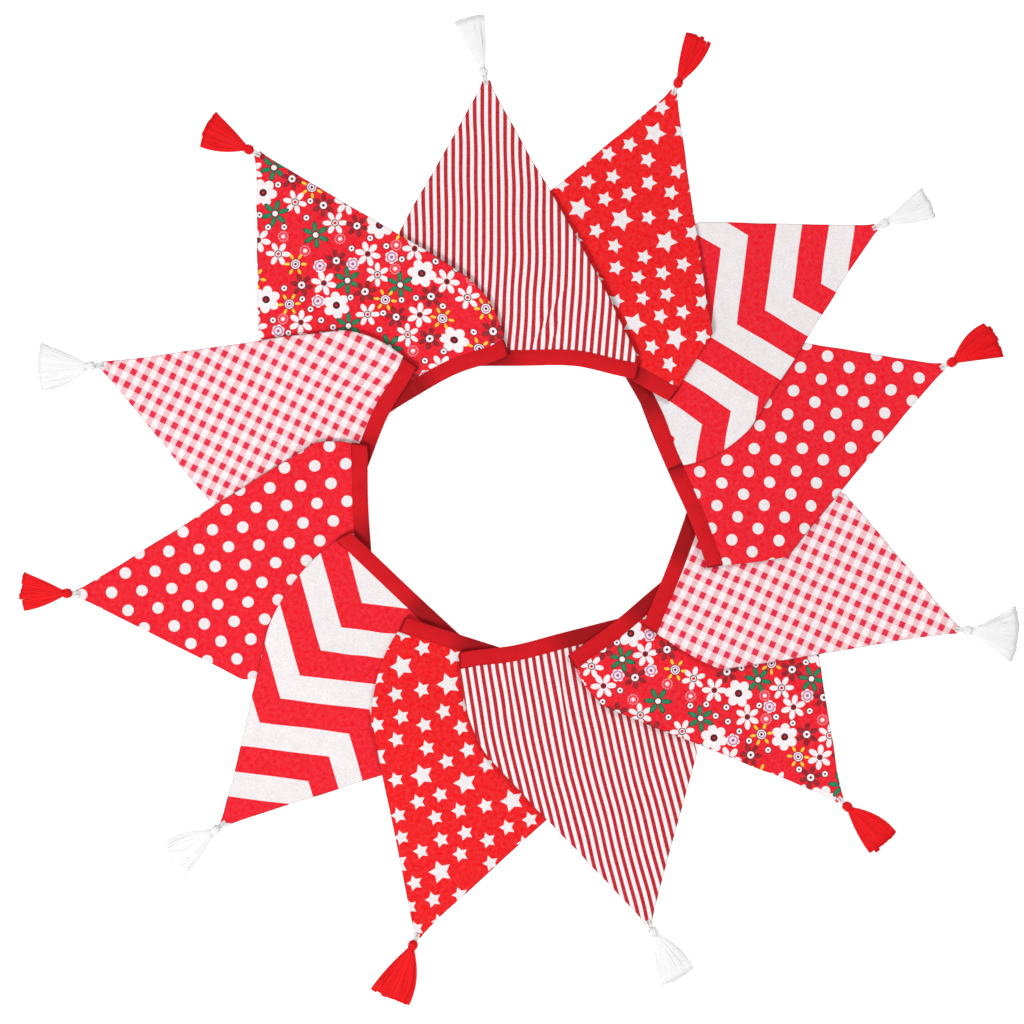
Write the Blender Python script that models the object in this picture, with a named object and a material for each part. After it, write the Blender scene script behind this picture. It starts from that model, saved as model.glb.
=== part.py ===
"""Fabric bunting laid down as a ring: twelve pennants, one folded binding tape, twelve tassels.

The pennants lie like the blades of a fan.  Each one passes over the next one clockwise, and the
binding tape, which holds them all along their bases, is pleated back on itself between two
pennants.  The lower corners of every pennant are folded under it, inside that pleat.
All lengths are in metres, +Z is up and the part rests on Z = 0.
"""
import math
import random

import bmesh
import bpy
from mathutils import Matrix, Vector

MM = 0.001

# Cloth
CLOTH = 1.0 * MM                # thickness of a pennant (two faces of cotton, turned and pressed)
GAP = 0.3 * MM                  # air between two layers that lie on each other
LAYER = CLOTH + GAP             # height that one more layer takes up
APEX_HALF_ANGLE = math.radians(29.5)
BLUNT_TIP = 3.0 * MM            # the tip is cut off this far in, where the tassel is sewn on
FOLD_RADIUS = LAYER / 2         # middle of the cloth in a pressed fold
FOLD_STEPS = 3
CELL = 18.6 * MM                # size of the mesh's cells on a pennant
HEM_FADE = 0.4                  # share of the pennant over which the base's bowing fades out
WELD = 0.1 * MM                 # a cut this close to a corner goes through the corner

# Binding tape
TAPE_WIDTH = 10.5 * MM
TAPE_THICK = 1.0 * MM
SEAM_GAP = 0.7 * MM             # from the tape's edge to the pennant's edge
PLEAT_AIR = 0.1 * MM            # spare height under the tape's run back
TAPE_ARC_STEPS = 4
WAY_STEP = 0.01                 # share of a run over which its direction is taken
TAPE_STEP = 19 * MM             # distance between two sections of the tape

# The fan: how steeply the pennants climb over each other
PHASE_STEP = math.radians(30)   # from one pennant to the next
PHASE_START = math.radians(-20.8)
FAN_RISE = 7.9 * MM             # climb for each radian, close to the ring
FAN_INNER = 172 * MM            # radius up to which the climb is full
FAN_OUTER = 265 * MM            # radius past which the cloth lies flat on the floor
FAN_SOFTEN = 0.18               # how softly the climb levels off at FAN_INNER
BED_RISE = 6.3 * MM             # height of each pennant's middle line, near the ring
BED_CURVE = 1.6

# Pennants, clockwise from the top.  tip: where the point lies; aim: from base to point,
# anticlockwise from +X, in degrees; drop: base to point; front, back: from the middle of the
# base to the clockwise and to the anticlockwise fold; lean: how far the clockwise fold leans
# out for each metre up; bulge: how far it bows out; hem: how far the base strays from straight,
# towards the point, at five even steps from its anticlockwise to its clockwise end.  In mm.
PENNANT_COLUMNS = ("name", "tip_x", "tip_y", "aim", "drop", "front", "back", "lean", "bulge",
                   "hem")
PENNANTS = (
    ("stripes_1", -25.3, 286.3, 90.0, 192.0, 99.0, 57.0, 0.00, 0.0, (0.0, 0.0, 0.0, -0.3, -8.6)),
    ("stars_1", 100.7, 279.3, 68.9, 196.7, 70.0, 58.0, 0.20, 0.0, (0.0, 1.5, 3.5, 4.9, 0.8)),
    ("chevron_1", 236.0, 188.0, 28.2, 199.3, 74.0, 58.0, 0.03, 7.0, (0.0, 1.5, 2.8, 3.0, -1.5)),
    ("dots_1", 281.3, 94.7, 20.3, 200.0, 68.5, 58.0, 0.22, 1.5, (0.0, 0.2, 1.6, 3.8, 3.6)),
    ("gingham_1", 291.3, -82.0, 339.6, 200.7, 68.0, 58.0, 0.18, 2.0, (0.0, 0.8, 1.7, 1.5, 0.2)),
    ("floral_1", 212.0, -196.0, 308.6, 190.0, 79.0, 58.0, 0.06, 4.0, (0.0, 0.0, 0.0, 1.0, -0.6)),
    ("stripes_2", 83.3, -278.7, 284.1, 204.0, 76.0, 58.0, -0.04, 7.0, (0.0, 0.0, 0.0, 0.1, -3.9)),
    ("stars_2", -72.0, -287.3, 252.0, 200.7, 70.0, 58.0, 0.00, 7.5, (-1.0, -1.4, -1.7, -1.6, -1.6)),
    ("chevron_2", -201.7, -212.0, 227.1, 201.3, 69.0, 58.0, -0.10, 10.0, (-0.5, -0.5, -0.5, -0.9, -1.4)),
    ("dots_2", -300.0, -57.3, 182.6, 198.7, 88.0, 61.0, 0.12, 2.0, (-0.8, -1.0, -1.0, -0.4, -1.6)),
    ("gingham_2", -284.0, 96.0, 158.6, 194.7, 73.0, 58.0, 0.05, 7.0, (0.0, 1.0, 1.9, 1.5, -4.1)),
    ("floral_2", -178.3, 238.0, 120.0, 196.0, 74.5, 59.0, 0.04, 7.0, (0.0, 0.0, 0.8, 0.2, -6.2)),
)

# Tassels, in the same order.  aim: the way the skirt points, in degrees; length: pennant's tip
# to the strands' ends; spread: width over the ends.  Lengths in mm.
TASSEL_COLUMNS = ("aim", "length", "spread", "colour")
TASSELS = (
    (103.9, 45.0, 19.0, "white"),
    (71.1, 40.8, 20.0, "red"),
    (25.8, 39.0, 19.0, "white"),
    (28.6, 39.0, 24.0, "red"),
    (-4.5, 39.0, 33.0, "white"),
    (-46.8, 40.4, 23.0, "red"),
    (-62.6, 42.8, 21.0, "white"),
    (-113.6, 44.5, 22.0, "red"),
    (216.8, 41.0, 25.0, "white"),
    (180.2, 38.2, 22.0, "red"),
    (178.4, 40.0, 29.0, "white"),
    (152.2, 39.0, 24.0, "red"),
)
STRANDS_ACROSS = 6
STRAND_ROWS = 2
STRAND_HALF = 0.5 * MM          # half the thickness of a strand
STRAND_SEED = 7
# Sections of a tassel's head along its axis: distance from its start, width, height, in mm
HEAD_SECTIONS = ((0.0, 2.2, 1.8), (2.6, 2.6, 2.0), (3.8, 6.4, 4.6), (6.4, 7.6, 5.4),
                 (8.8, 5.0, 4.2), (10.2, 4.4, 3.8), (13.0, 8.4, 4.4))

# Average colour of each printed cloth, and of the tape and the yarn
COLOURS = {
    "stripes": (0.84, 0.52, 0.52, 1), "stars": (0.80, 0.12, 0.13, 1),
    "chevron": (0.82, 0.45, 0.45, 1), "dots": (0.80, 0.13, 0.14, 1),
    "gingham": (0.80, 0.36, 0.37, 1), "floral": (0.72, 0.14, 0.13, 1),
    "tape": (0.60, 0.012, 0.018, 1), "red": (0.70, 0.015, 0.022, 1),
    "white": (0.87, 0.87, 0.88, 1),
}


def named_rows(columns, table):
    """Each row of a table as a dictionary."""
    return [dict(zip(columns, row)) for row in table]


def principled(name, colour, roughness=0.85):
    """A cloth material."""
    material = bpy.data.materials.new(name)
    material.use_nodes = True
    shader = material.node_tree.nodes["Principled BSDF"]
    shader.inputs["Base Color"].default_value = colour
    shader.inputs["Roughness"].default_value = roughness
    shader.inputs["Metallic"].default_value = 0.0
    return material


def add_object(name, bm, colour):
    """Turn a closed bmesh into an object with its own material."""
    bmesh.ops.recalc_face_normals(bm, faces=bm.faces)
    mesh = bpy.data.meshes.new(name)
    bm.to_mesh(mesh)
    bm.free()
    mesh.shade_smooth()
    mesh.set_sharp_from_angle(angle=math.radians(40))
    obj = bpy.data.objects.new(name, mesh)
    bpy.context.scene.collection.objects.link(obj)
    obj.data.materials.append(principled(name, COLOURS[colour]))
    return obj


class Pennant:
    """One row of the table, with the frame of its base: u clockwise, v towards the tip."""

    def __init__(self, index, row):
        self.index = index
        self.name = row["name"]
        aim = math.radians(row["aim"])
        self.drop = row["drop"] * MM
        self.v_axis = Vector((math.cos(aim), math.sin(aim)))
        self.u_axis = Vector((math.sin(aim), -math.cos(aim)))
        self.tip = Vector((row["tip_x"] * MM, row["tip_y"] * MM))
        self.base = self.tip - self.drop * self.v_axis
        self.front = row["front"] * MM
        self.back = row["back"] * MM
        self.lean = row["lean"]
        self.bulge = row["bulge"] * MM
        self.hem = [stray * MM for stray in row["hem"]]

    def hem_shift(self, u, v):
        """How far the base's bowing moves a point; it fades out towards the pennant's tip."""
        last = len(self.hem) - 1
        at = min(max((u + self.back) / (self.front + self.back), 0.0), 1.0) * last
        k = min(int(at), last - 1)
        before, low, high, after = (self.hem[min(max(n, 0), last)] for n in range(k - 1, k + 3))
        t = at - k
        first, second = (high - before) / 2, (after - low) / 2
        stray = (low + t * first + t * t * (3 * (high - low) - 2 * first - second)
                 + t * t * t * (2 * (low - high) + first + second))
        return stray * min(max(1 - (v - TAPE_WIDTH) / (HEM_FADE * self.drop), 0.0), 1.0)

    def place(self, u, v):
        """A point of the base's frame, in the ring's plane."""
        return self.base + u * self.u_axis + (v + self.hem_shift(u, v)) * self.v_axis

    def half_width(self, v):
        return (self.drop - v) * math.tan(APEX_HALF_ANGLE)

    def fold_shift(self, v):
        """How far the clockwise fold stands off its straight line at v."""
        slope = math.tan(APEX_HALF_ANGLE)
        end = (self.half_width(0) - self.front) / (slope + self.lean)
        share = min(max(v / end, 0.0), 1.0)
        return self.lean * share * end + 4 * self.bulge * share * (1 - share)

    def straight_edge(self, v):
        """The clockwise cut edge, in the frame where the clockwise fold is straight."""
        edge = self.half_width(v)
        shift = self.fold_shift(v)
        if edge >= self.front + shift:
            return edge - shift
        return edge / (1 + shift / self.front)


def fan_height(index, point):
    """Height of the middle of pennant `index` over a point of the ring's plane."""
    radius = point.length
    turn = math.atan2(point.x, point.y) - (PHASE_START + index * PHASE_STEP)
    turn = (turn + math.pi) % (2 * math.pi) - math.pi
    inward = (FAN_OUTER - radius) / (FAN_OUTER - FAN_INNER)
    share = min(max(inward, 0.0), 1 + FAN_SOFTEN)
    share -= max(share - (1 - FAN_SOFTEN), 0.0) ** 2 / (4 * FAN_SOFTEN)
    return CLOTH / 2 + FAN_RISE * share * turn + BED_RISE * share ** BED_CURVE


def fold_over(distance):
    """Where a point of the sheet goes that lies `distance` past a fold's line.

    Gives the way out past the line, the height against the sheet and the normal (out, up).
    """
    angle = min(distance / FOLD_RADIUS, math.pi)
    out = FOLD_RADIUS * math.sin(angle) - max(distance - math.pi * FOLD_RADIUS, 0.0)
    return out, FOLD_RADIUS * (math.cos(angle) - 1), (math.sin(angle), math.cos(angle))


def cut_lines(low, high, step):
    """Evenly spaced places strictly between low and high, at most a step apart."""
    count = math.ceil((high - low) / step)
    return [low + (high - low) * k / count for k in range(1, count)]


def flat_pennant(pennant):
    """The pennant before it is folded, as a flat mesh cut into cells and along both folds."""
    bm = bmesh.new()
    top = pennant.drop - BLUNT_TIP
    bottom = TAPE_WIDTH + SEAM_GAP
    levels = [bottom] + cut_lines(bottom, top, CELL) + [top]
    sides = []
    for v in levels:
        left = bm.verts.new((-pennant.half_width(v), v, 0))
        right = bm.verts.new((pennant.straight_edge(v), v, 0))
        sides.append((left, right))
    for (left, right), (next_left, next_right) in zip(sides, sides[1:]):
        bm.faces.new((left, right, next_right, next_left))
    bend = [math.pi * FOLD_RADIUS * k / FOLD_STEPS for k in range(FOLD_STEPS + 1)]
    cuts = [pennant.front + s for s in bend] + [-pennant.back - s for s in bend]
    cuts += cut_lines(-pennant.back, pennant.front, CELL)
    cuts += [pennant.front + bend[-1] + CELL, -pennant.back - bend[-1] - CELL]
    for u in cuts:
        geometry = bm.verts[:] + bm.edges[:] + bm.faces[:]
        bmesh.ops.bisect_plane(bm, geom=geometry, dist=WELD, plane_co=(u, 0, 0), plane_no=(1, 0, 0))
    bmesh.ops.triangulate(bm, faces=bm.faces)
    return bm


def folded_point(pennant, u, v, side):
    """Place a point of the flat pennant on one face of the folded and laid pennant."""
    shift = pennant.fold_shift(v)
    if u > pennant.front:
        out, height, normal = fold_over(u - pennant.front)
        flat_u = pennant.front + out + shift
    elif u < -pennant.back:
        out, height, normal = fold_over(-pennant.back - u)
        normal = (-normal[0], normal[1])
        flat_u = -pennant.back - out
    else:
        height, normal = 0.0, (0.0, 1.0)
        flat_u = u + shift * max(u / pennant.front, 0.0)
    flat_u += side * normal[0] * CLOTH / 2
    height += side * normal[1] * CLOTH / 2
    place = pennant.place(flat_u, v)
    return (place.x, place.y, fan_height(pennant.index, place) + height)


def make_pennant(pennant, colour):
    """Both faces of the folded sheet, and the cut edge that joins them."""
    flat = flat_pennant(pennant)
    solid = bmesh.new()
    shells = {}
    for side in (1, -1):
        shells[side] = {vert: solid.verts.new(folded_point(pennant, vert.co.x, vert.co.y, side))
                        for vert in flat.verts}
    for face in flat.faces:
        solid.faces.new([shells[1][vert] for vert in face.verts])
        solid.faces.new([shells[-1][vert] for vert in reversed(face.verts)])
    for edge in flat.edges:
        if edge.is_boundary:
            a, b = edge.verts
            solid.faces.new((shells[1][a], shells[1][b], shells[-1][b], shells[-1][a]))
    flat.free()
    return add_object("pennant_" + pennant.name, solid, colour)


def tape_section(centre, across, normal, heights):
    """The four corners of the tape: its two faces, at its inner and its outer edge."""
    corners = []
    for side, end in ((1, -1), (1, 1), (-1, 1), (-1, -1)):
        place = centre + end * across + side * normal[0] * TAPE_THICK / 2
        height = heights[0 if end < 0 else 1] + side * normal[1] * TAPE_THICK / 2
        corners.append((place.x, place.y, height))
    return corners


def way_at(path, share):
    """The direction in which a path runs at a share of its length."""
    return (path(min(share + WAY_STEP, 1.0)) - path(max(share - WAY_STEP, 0.0))).normalized()


def tape_run(path, start_across, end_across, heights_at, face):
    """Sections along a run between two pleats, whose lines slant a little."""
    length = (path(1.0) - path(0.0)).length
    inset = TAPE_WIDTH * 0.35 / length
    count = max(math.ceil((1 - 2 * inset) * length / TAPE_STEP), 1)
    sections = [(path(0.0), start_across)]
    for k in range(count + 1):
        share = inset + (1 - 2 * inset) * k / count
        way = way_at(path, share)
        square = Vector((-way.y, way.x)) * TAPE_WIDTH / 2
        sections.append((path(share), square if square.dot(start_across) > 0 else -square))
    sections.append((path(1.0), end_across))
    return [tape_section(centre, across, (Vector((0, 0)), face), heights_at(centre, across))
            for centre, across in sections]


def tape_pleat(centre, across, outward, tops, bottoms, face):
    """Sections round a pleat, from the upper run to the lower one, without its two ends."""
    sections = []
    radius = (sum(tops) - sum(bottoms)) / 4
    for k in range(1, TAPE_ARC_STEPS):
        angle = math.pi * k / TAPE_ARC_STEPS
        heights = [(top + bottom) / 2 + (top - bottom) / 2 * math.cos(angle)
                   for top, bottom in zip(tops, bottoms)]
        place = centre + outward * radius * math.sin(angle)
        normal = (outward * math.sin(angle) * face, math.cos(angle) * face)
        sections.append(tape_section(place, across, normal, heights))
    return sections


def pleat_across(way_in, way_out, inner_to_outer):
    """Half the tape's width along the line about which it turns from one run to the next."""
    outward = (way_in - way_out).normalized()
    line = Vector((-outward.y, outward.x))
    if line.dot(inner_to_outer) < 0:
        line = -line
    slant = abs(line.x * way_in.y - line.y * way_in.x)
    return line * TAPE_WIDTH / 2 / slant, outward


def base_path(pennant):
    """The middle of the tape along a pennant's base, as a function of the share of the way."""
    middle = TAPE_WIDTH / 2
    start, end = -pennant.back, pennant.front + pennant.fold_shift(middle)
    return lambda share: pennant.place(start + (end - start) * share, middle)


def straight_path(start, end):
    """A straight way between two points, as a function of the share of the way."""
    return lambda share: start.lerp(end, share)


def make_tape(pennants, colour):
    """One closed band: along each base, folded back below it, and on along the next base."""
    count = len(pennants)
    runs = [base_path(p) for p in pennants]
    backs = [straight_path(runs[i](1.0), runs[(i + 1) % count](0.0)) for i in range(count)]
    start_pleats = [pleat_across(way_at(backs[i - 1], 1.0), way_at(runs[i], 0.0), p.v_axis)
                    for i, p in enumerate(pennants)]
    end_pleats = [pleat_across(way_at(runs[i], 1.0), way_at(backs[i], 0.0), p.v_axis)
                  for i, p in enumerate(pennants)]

    def heights_over(index, lift):
        return lambda centre, across: [fan_height(index, centre + end * across) + lift
                                       for end in (-1, 1)]

    sections = []
    for i in range(count):
        after = (i + 1) % count
        on_top, above_next = heights_over(i, 0), heights_over(i + 1, LAYER + PLEAT_AIR)
        next_top = heights_over(i + 1, 0)
        start_across = start_pleats[i][0]
        end_across, outward = end_pleats[i]
        next_across, next_outward = start_pleats[after]
        end, next_start = runs[i](1.0), runs[after](0.0)
        sections += tape_run(runs[i], start_across, end_across, on_top, 1)
        sections += tape_pleat(end, end_across, outward, on_top(end, end_across),
                               above_next(end, end_across), 1)
        sections += tape_run(backs[i], end_across, next_across, above_next, -1)
        sections += tape_pleat(next_start, next_across, next_outward,
                               above_next(next_start, next_across),
                               next_top(next_start, next_across), -1)
    bm = bmesh.new()
    rings = [[bm.verts.new(corner) for corner in section] for section in sections]
    for ring, following in zip(rings, rings[1:] + rings[:1]):
        for k in range(4):
            after = (k + 1) % 4
            bm.faces.new((ring[k], ring[after], following[after], following[k]))
    return add_object("binding_tape", bm, colour)


def disc_point(a, b, width, height):
    """A point of a square grid (-1 to 1 each way), spread over an ellipse that rests on Z = 0."""
    return (width / 2 * a * math.sqrt(1 - b * b / 2),
            height / 2 * (1 + b * math.sqrt(1 - a * a / 2)))


def make_tassel(name, pennant, row, rng):
    """A stem, a knot and a bound neck, and a skirt of strands that lie fanned on the floor."""
    aim = math.radians(row["aim"])
    along = Vector((math.cos(aim), math.sin(aim)))
    aside = Vector((-along.y, along.x))
    stem_half = HEAD_SECTIONS[0][1] * MM / 2
    clear = GAP + stem_half * abs(aside.dot(pennant.v_axis))
    start = pennant.place(0, pennant.drop - BLUNT_TIP + clear)
    bm = bmesh.new()

    def vertex(x, y, z):
        place = start + along * x + aside * y
        return bm.verts.new((place.x, place.y, z))

    nodes = {(j, k): (2 * j / STRANDS_ACROSS - 1, 2 * k / STRAND_ROWS - 1)
             for j in range(STRANDS_ACROSS + 1) for k in range(STRAND_ROWS + 1)}
    outline = [(j, 0) for j in range(STRANDS_ACROSS)]
    outline += [(STRANDS_ACROSS, k) for k in range(STRAND_ROWS)]
    outline += [(j, STRAND_ROWS) for j in range(STRANDS_ACROSS, 0, -1)]
    outline += [(0, k) for k in range(STRAND_ROWS, 0, -1)]
    rings = []
    for x, width, height in HEAD_SECTIONS:
        rings.append([vertex(x * MM, *disc_point(*nodes[n], width * MM, height * MM))
                      for n in outline])
    bm.faces.new(rings[0])
    for ring, following in zip(rings, rings[1:]):
        for k in range(len(ring)):
            after = (k + 1) % len(ring)
            bm.faces.new((ring[k], ring[after], following[after], following[k]))

    root_x, root_width, root_height = (value * MM for value in HEAD_SECTIONS[-1])
    root = dict(zip(outline, rings[-1]))
    for node, (a, b) in nodes.items():
        if node not in root:
            root[node] = vertex(root_x, *disc_point(a, b, root_width, root_height))
    for j in range(STRANDS_ACROSS):
        for k in range(STRAND_ROWS):
            cell = [(j, k), (j + 1, k), (j + 1, k + 1), (j, k + 1)]
            places = [disc_point(*nodes[n], root_width, root_height) for n in cell]
            y = sum(place[0] for place in places) / 4
            z = sum(place[1] for place in places) / 4
            share = (j + 0.5 + (0.25 if k else -0.25)) / STRANDS_ACROSS - 0.5
            end_y = share * (row["spread"] * MM - 2 * STRAND_HALF)
            end_z = STRAND_HALF + k * (2 * STRAND_HALF + GAP)
            reach = row["length"] * MM * rng.uniform(0.93, 1.0)
            stops = [(root_x, y, z, 0.8), (root_x + (reach - root_x) * 0.45,
                                           y + (end_y - y) * 0.5, z + (end_z - z) * 0.8, 1.0),
                     (reach, end_y, end_z, 1.0)]
            ring = [root[n] for n in cell]
            for x, centre_y, centre_z, size in stops:
                half = STRAND_HALF * size
                following = [vertex(x, centre_y + dy * half, centre_z + dz * half)
                             for dy, dz in ((-1, -1), (1, -1), (1, 1), (-1, 1))]
                for n in range(4):
                    after = (n + 1) % 4
                    bm.faces.new((ring[n], ring[after], following[after], following[n]))
                ring = following
            bm.faces.new(ring)
    return add_object(name, bm, row["colour"])


def centre_over_origin(objects):
    """Slide all pieces together, so that the box around them is centred on X = Y = 0."""
    places = [vert.co for obj in objects for vert in obj.data.vertices]
    slide = Vector((0, 0, 0))
    for axis in (0, 1):
        along = [place[axis] for place in places]
        slide[axis] = -(min(along) + max(along)) / 2
    for obj in objects:
        obj.data.transform(Matrix.Translation(slide))


def main():
    for obj in list(bpy.data.objects):
        bpy.data.objects.remove(obj, do_unlink=True)
    pennants = [Pennant(i, row) for i, row in enumerate(named_rows(PENNANT_COLUMNS, PENNANTS))]
    rng = random.Random(STRAND_SEED)
    pieces = [make_tape(pennants, "tape")]
    for pennant, row in zip(pennants, named_rows(TASSEL_COLUMNS, TASSELS)):
        pieces.append(make_pennant(pennant, pennant.name.split("_")[0]))
        pieces.append(make_tassel("tassel_" + pennant.name, pennant, row, rng))
    centre_over_origin(pieces)


main()
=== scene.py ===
"""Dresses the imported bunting: printed cotton pennants, stitched bias tape and floss tassels.

The cloth is laid by the same plan as the solids.  Prints are computed from each point's place on
the flat cloth, in millimetres: u runs along the pennant's base and v towards its point.
"""
import itertools
import math
import random

import bmesh
import bpy
import numpy as np
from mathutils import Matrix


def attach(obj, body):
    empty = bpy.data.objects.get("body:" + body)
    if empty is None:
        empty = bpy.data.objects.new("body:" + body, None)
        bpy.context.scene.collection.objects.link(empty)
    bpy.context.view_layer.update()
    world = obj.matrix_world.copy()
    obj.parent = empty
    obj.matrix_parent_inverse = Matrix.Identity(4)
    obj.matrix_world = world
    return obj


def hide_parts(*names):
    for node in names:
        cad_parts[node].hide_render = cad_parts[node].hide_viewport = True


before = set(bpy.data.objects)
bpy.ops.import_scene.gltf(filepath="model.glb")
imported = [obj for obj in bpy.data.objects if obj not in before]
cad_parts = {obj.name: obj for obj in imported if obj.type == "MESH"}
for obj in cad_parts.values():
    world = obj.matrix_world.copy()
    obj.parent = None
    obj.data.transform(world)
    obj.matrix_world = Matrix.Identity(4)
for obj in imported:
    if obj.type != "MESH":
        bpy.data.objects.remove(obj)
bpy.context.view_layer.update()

MM = 0.001

# ---------- the plan, as in the solids

SLIDE = np.array((3.5874, 0.0682)) * MM     # from the middle of the ring to the frame's origin
APEX_HALF_ANGLE = math.radians(29.5)
BLUNT_TIP = 3.0 * MM
FOLD_RADIUS = 0.65 * MM
TAPE_WIDTH = 10.5 * MM
HEM_FADE = 0.4                  # of the drop, over which the base's bowing fades out
LAYER_BASE = 0.5 * MM           # height of the lowest cloth's middle
PHASE_STEP = math.radians(30)
PHASE_START = math.radians(-20.8)
FAN_RISE = 7.9 * MM
FAN_INNER = 172 * MM
FAN_OUTER = 265 * MM
FAN_SOFTEN = 0.18
BED_RISE = 6.3 * MM
BED_CURVE = 1.6

# Pennants, clockwise from the top, as in the solids.  hem: how far the base bows towards the point,
# at five even steps from its anticlockwise end.  Lengths in mm, aim in degrees
PENNANT_COLUMNS = ("name", "tip_x", "tip_y", "aim", "drop", "front", "back", "lean", "bulge", "hem")
PENNANTS = (
    ("stripes_1", -25.3, 286.3, 90.0, 192.0, 99.0, 57.0, 0.00, 0.0, (0.0, 0.0, 0.0, -0.3, -8.6)),
    ("stars_1", 100.7, 279.3, 68.9, 196.7, 70.0, 58.0, 0.20, 0.0, (0.0, 1.5, 3.5, 4.9, 0.8)),
    ("chevron_1", 236.0, 188.0, 28.2, 199.3, 74.0, 58.0, 0.03, 7.0, (0.0, 1.5, 2.8, 3.0, -1.5)),
    ("dots_1", 281.3, 94.7, 20.3, 200.0, 68.5, 58.0, 0.22, 1.5, (0.0, 0.2, 1.6, 3.8, 3.6)),
    ("gingham_1", 291.3, -82.0, 339.6, 200.7, 68.0, 58.0, 0.18, 2.0, (0.0, 0.8, 1.7, 1.5, 0.2)),
    ("floral_1", 212.0, -196.0, 308.6, 190.0, 79.0, 58.0, 0.06, 4.0, (0.0, 0.0, 0.0, 1.0, -0.6)),
    ("stripes_2", 83.3, -278.7, 284.1, 204.0, 76.0, 58.0, -0.04, 7.0, (0.0, 0.0, 0.0, 0.1, -3.9)),
    ("stars_2", -72.0, -287.3, 252.0, 200.7, 70.0, 58.0, 0.00, 7.5, (-1.0, -1.4, -1.7, -1.6, -1.6)),
    ("chevron_2", -201.7, -212.0, 227.1, 201.3, 69.0, 58.0, -0.10, 10.0,
     (-0.5, -0.5, -0.5, -0.9, -1.4)),
    ("dots_2", -300.0, -57.3, 182.6, 198.7, 88.0, 61.0, 0.12, 2.0, (-0.8, -1.0, -1.0, -0.4, -1.6)),
    ("gingham_2", -284.0, 96.0, 158.6, 194.7, 73.0, 58.0, 0.05, 7.0, (0.0, 1.0, 1.9, 1.5, -4.1)),
    ("floral_2", -178.3, 238.0, 120.0, 196.0, 74.5, 59.0, 0.04, 7.0, (0.0, 0.0, 0.8, 0.2, -6.2)),
)

# Where each pennant, in the same order, was cut from its print: start in mm, turn in degrees
CUT_COLUMNS = ("start_u", "start_v", "turn")
CUTS = (
    (-0.6, 0.0, 0.8),
    (4.0, 9.0, 0.0),
    (-59.8, -4.2, -2.35),
    (-10.1, 1.0, 2.8),
    (3.4, 0.4, -4.7),
    (0.0, 0.0, 0.0),
    (-1.3, 0.0, 0.1),
    (31.0, 17.0, 2.0),
    (-33.6, 3.6, 2.3),
    (-4.0, 7.5, 1.4),
    (3.2, 1.0, -5.5),
    (41.0, 23.0, 3.0),
)

# Tassels, in the same order.  aim in degrees; length from the pennant's tip and spread in mm; left
# and right: how far that side of the skirt bulges, seen from the pennant, as a share of its width
TASSEL_COLUMNS = ("aim", "length", "spread", "left", "right")
TASSELS = (
    (104.6, 45.6, 21.5, -0.1, 0.1),
    (65.8, 42.8, 18.5, 0.1, 0.6),
    (25.0, 41.5, 22.5, 0.0, 0.3),
    (28.0, 42.5, 26.6, 0.6, -0.1),
    (-4.5, 41.7, 39.0, -0.2, 0.0),
    (-45.2, 43.7, 23.0, 0.6, 0.2),
    (-61.3, 43.7, 25.0, 0.5, 0.1),
    (-113.8, 47.5, 28.0, 0.6, 0.1),
    (216.3, 44.0, 29.0, 0.0, 0.4),
    (177.5, 39.7, 26.5, 0.2, 0.0),
    (182.0, 43.4, 35.0, 0.5, 0.0),
    (153.0, 41.2, 26.0, 0.4, 0.0),
)
TASSEL_COLOURS = ("white", "red")           # by turns

# Creases in the cloth: the pennant, both ends (u, v), the height and the half width, in mm
CREASE_COLUMNS = ("name", "from_u", "from_v", "to_u", "to_v", "height", "half")
CREASES = (
    ("stripes_1", 28.0, 8.0, 52.0, 52.0, 1.0, 3.2),
    ("stripes_1", 40.0, 8.0, 50.0, 30.0, 0.7, 2.4),
    ("stripes_1", 4.0, 8.0, -6.0, 78.0, 0.8, 4.5),
    ("stars_1", -38.0, 123.0, 34.0, 130.0, -0.5, 3.5),
    ("stars_1", 12.0, 12.0, 30.0, 70.0, 0.6, 5.0),
    ("chevron_1", 5.0, 10.0, -20.0, 60.0, 0.6, 5.0),
    ("dots_1", -20.0, 10.0, -32.0, 62.0, 0.7, 4.0),
    ("gingham_1", 25.0, 10.0, 20.0, 55.0, 0.6, 5.0),
    ("floral_1", 10.0, 10.0, 25.0, 50.0, 0.6, 4.0),
    ("stripes_2", 12.0, 8.0, 22.0, 72.0, 1.1, 4.0),
    ("stripes_2", 45.0, 8.0, 50.0, 45.0, 0.6, 4.0),
    ("stars_2", 20.0, 10.0, 10.0, 60.0, 0.6, 5.0),
    ("chevron_2", 0.0, 10.0, 15.0, 70.0, 0.7, 5.0),
    ("dots_2", 20.0, 8.0, 5.0, 50.0, 0.7, 4.0),
    ("gingham_2", 45.0, 10.0, 35.0, 60.0, 0.7, 5.0),
    ("floral_2", 30.0, 8.0, 22.0, 60.0, 0.6, 4.5),
)
PINCH = 1.6                     # how far a crease draws the cloth in, as a share of its height
CREASE_ENDS = 0.7               # power that rounds a crease's ends

# ---------- finer sizes of the cloth

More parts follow.
